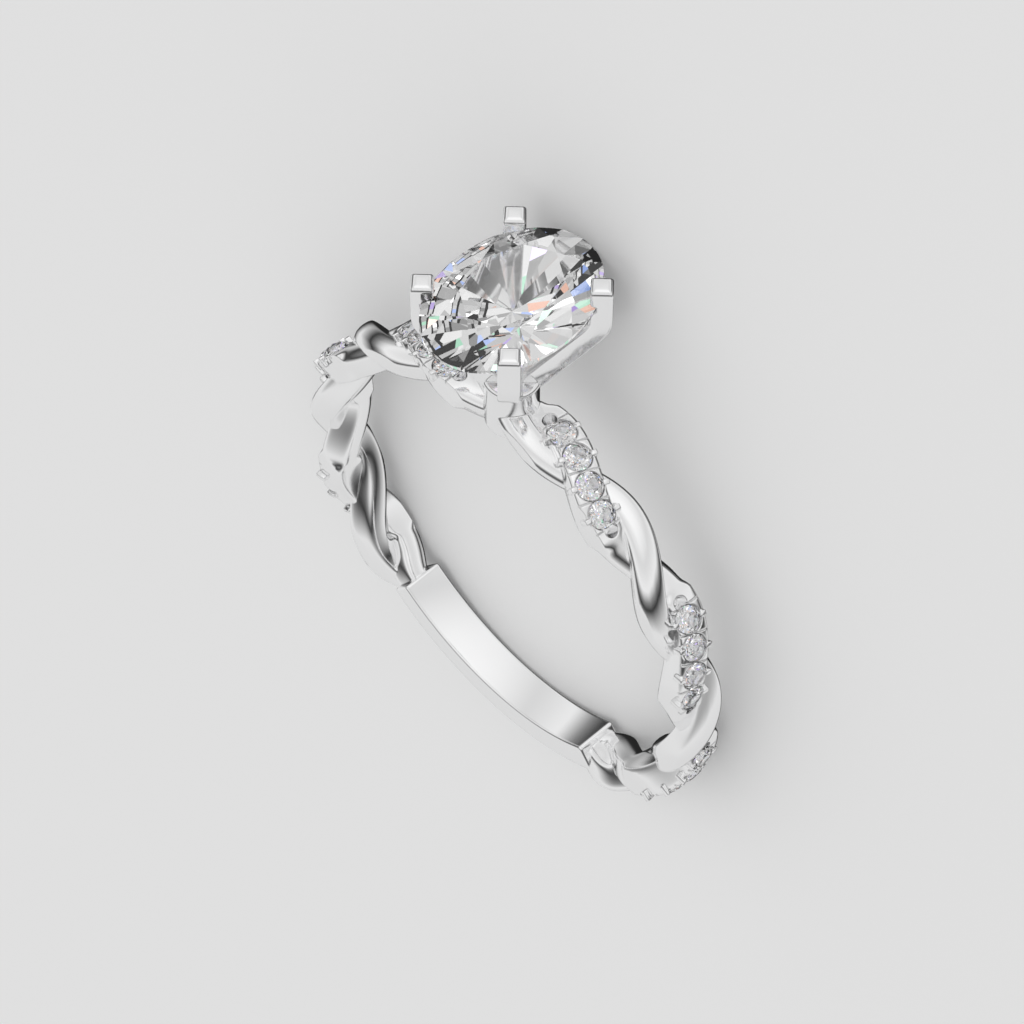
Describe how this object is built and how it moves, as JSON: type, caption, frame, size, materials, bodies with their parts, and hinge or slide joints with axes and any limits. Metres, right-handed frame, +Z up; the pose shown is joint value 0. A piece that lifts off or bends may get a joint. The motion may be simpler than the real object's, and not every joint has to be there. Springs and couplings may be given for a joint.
{
  "type": "twisted shank ring",
  "caption": "Ring with a shank of two twisted strands, small round stones set in one strand, a plain sizing bar at the back and an oval stone held by claws on a post.",
  "frame": {"origin": "on the surface that the ring lies on, under the middle of its bounding box", "axes": "+Z up; the head with the oval stone points towards -Y and the sizing bar towards +Y; the finger hole's axis is 6.2 degrees off +Z, because the ring rests on the oval stone's end and on the bar's edge; +X to the right when seen from the stone's face"},
  "size_m": [0.0206, 0.026, 0.007],
  "materials": {
    "white_gold": "polished white gold",
    "center_stone": "clear, faceted and polished",
    "accent_stones": "clear, faceted and polished"
  },
  "bodies": {
    "root": {"ring_mount": "white_gold", "center_stone": "center_stone", "accent_1": "accent_stones", "accent_2": "accent_stones", "accent_3": "accent_stones", "accent_4": "accent_stones", "accent_5": "accent_stones", "accent_6": "accent_stones", "accent_7": "accent_stones", "accent_8": "accent_stones", "accent_9": "accent_stones", "accent_10": "accent_stones", "accent_11": "accent_stones", "accent_12": "accent_stones", "accent_13": "accent_stones", "accent_14": "accent_stones", "accent_15": "accent_stones", "accent_16": "accent_stones", "accent_17": "accent_stones", "accent_18": "accent_stones", "accent_19": "accent_stones", "accent_20": "accent_stones", "accent_21": "accent_stones", "accent_22": "accent_stones", "accent_23": "accent_stones", "accent_24": "accent_stones"}
  },
  "joints": []
}
